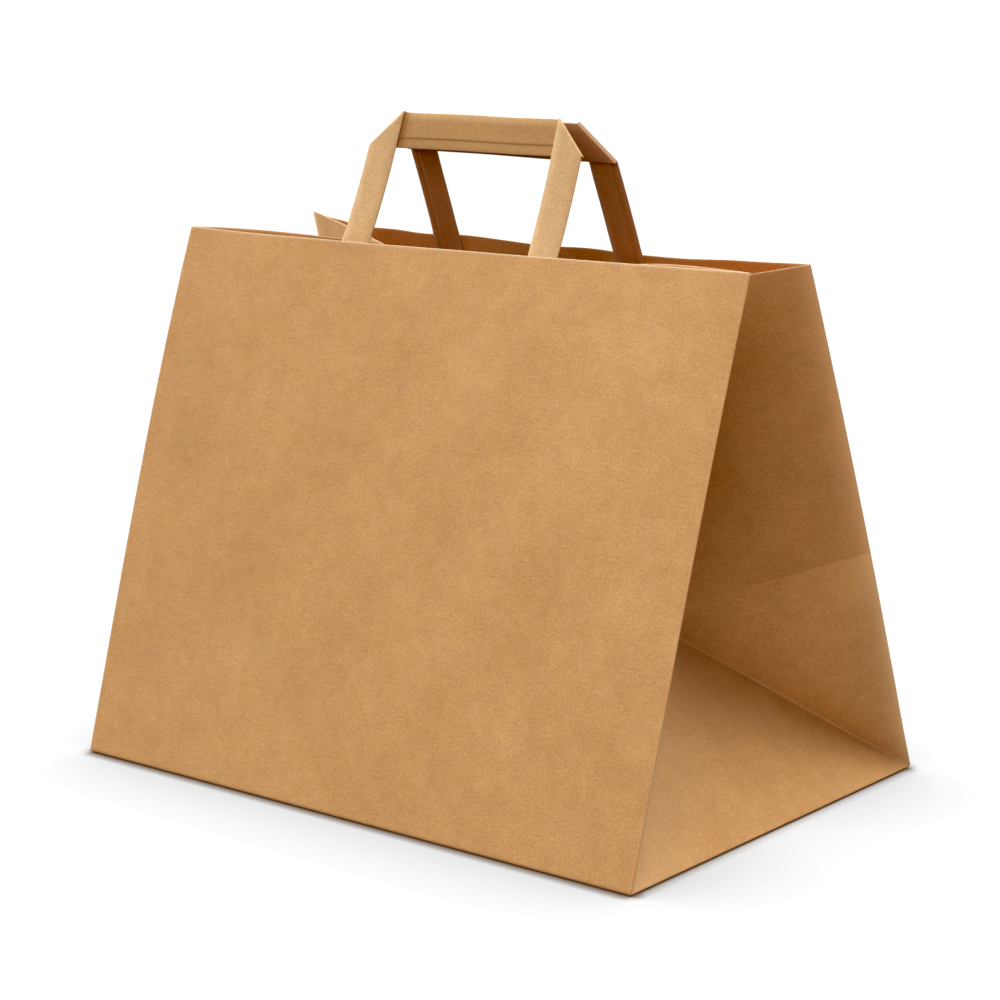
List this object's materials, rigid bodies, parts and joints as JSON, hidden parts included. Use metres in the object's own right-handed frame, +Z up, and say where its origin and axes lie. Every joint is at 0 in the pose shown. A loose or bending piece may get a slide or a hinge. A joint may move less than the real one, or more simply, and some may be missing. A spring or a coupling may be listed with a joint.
{
  "type": "flat handle paper bag",
  "caption": "Brown kraft paper carrier bag with a block bottom, deep side gussets folded half in, a leaning mouth and folded flat paper handles glued inside.",
  "frame": {"origin": "middle of the underside, on the surface that the bag stands on", "axes": "+X to the right along the wide front panel, +Y from the front panel to the back panel, +Z up"},
  "size_m": [0.3206, 0.2224, 0.3038],
  "materials": {
    "kraft_sheet": "matte machine-glazed kraft paper",
    "kraft_strip": "matte folded kraft paper strip",
    "kraft_patch": "matte kraft paper"
  },
  "bodies": {
    "root": {"bag_body": "kraft_sheet", "front_handle": "kraft_strip", "back_handle": "kraft_strip", "front_handle_patch": "kraft_patch", "back_handle_patch": "kraft_patch"}
  },
  "joints": []
}
